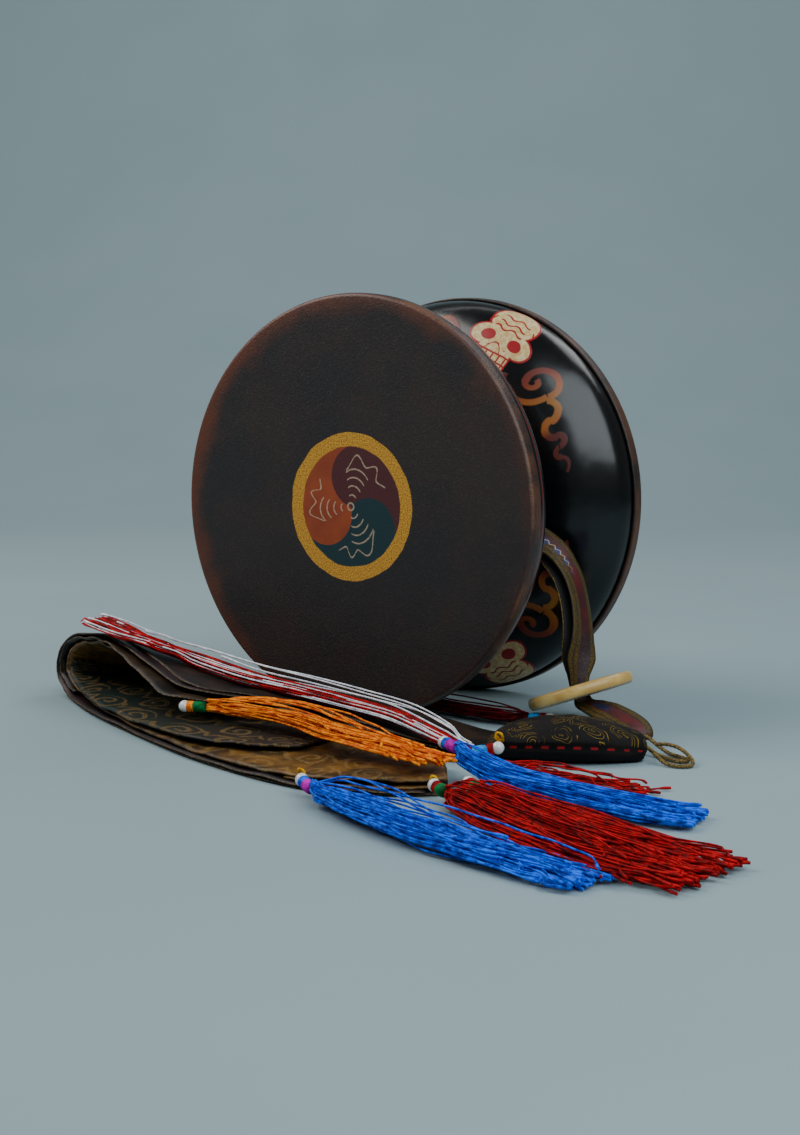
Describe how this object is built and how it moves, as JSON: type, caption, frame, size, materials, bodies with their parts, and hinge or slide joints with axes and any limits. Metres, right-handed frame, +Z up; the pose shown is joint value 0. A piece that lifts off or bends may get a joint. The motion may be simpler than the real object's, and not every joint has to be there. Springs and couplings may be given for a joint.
{
  "type": "temple hand drum",
  "caption": "Large two-headed hourglass hand drum standing on its rims, with a brocade hand strap, bone disc and a folded cloth tail with thread tassels",
  "frame": {"origin": "on the floor, under the middle of the bounding box of everything but the two free gold cords", "axes": "+Z up; +X is the long way, from the tail's fold to the tassels; the front drum head faces -Y"},
  "size_m": [0.6504, 0.4724, 0.3],
  "materials": {
    "lacquer": "black gloss lacquer, painted",
    "drum_skin": "matt, pebbled, worn brown at the rim",
    "brocade": "woven brocade",
    "bone": "polished bone, stands in as a smooth solid",
    "gold_cord": "twisted olive-gold cord",
    "dark_cloth": "stiff dark cloth with gold thread",
    "tail_brocade": "dark brocade with gold edges",
    "tail_lining": "dark brown lining",
    "red_thread": "loose twisted threads",
    "blue_wrap": "bound thread",
    "bead": "pearly bead",
    "orange_thread": "loose twisted threads",
    "green_wrap": "bound thread",
    "blue_thread": "loose twisted threads",
    "magenta_wrap": "bound thread",
    "dark_red_thread": "loose twisted threads"
  },
  "bodies": {
    "root": {"drum_shell": "lacquer", "head_front": "drum_skin", "head_back": "drum_skin", "waist_belt": "brocade", "strap": "brocade", "bone_disc": "bone", "strap_cord": "gold_cord", "tail_cord": "gold_cord", "tail_head": "dark_cloth", "tail_banner": "tail_brocade", "tail_lining": "tail_lining", "tassel_long_threads": "red_thread", "tassel_long_wrap": "blue_wrap", "tassel_long_bead": "bead", "tassel_orange_threads": "orange_thread", "tassel_orange_wrap": "green_wrap", "tassel_orange_bead": "bead", "tassel_blue_front_threads": "blue_thread", "tassel_blue_front_wrap": "magenta_wrap", "tassel_blue_front_bead": "bead", "tassel_red_left_threads": "red_thread", "tassel_red_left_wrap": "green_wrap", "tassel_red_left_bead": "bead", "tassel_red_right_threads": "red_thread", "tassel_red_right_wrap": "green_wrap", "tassel_red_right_bead": "bead", "tassel_blue_side_threads": "blue_thread", "tassel_blue_side_wrap": "magenta_wrap", "tassel_blue_side_bead": "bead", "tassel_behind_threads": "dark_red_thread", "tassel_behind_wrap": "blue_wrap", "tassel_behind_bead": "bead", "tassel_under_threads": "red_thread"}
  },
  "joints": []
}
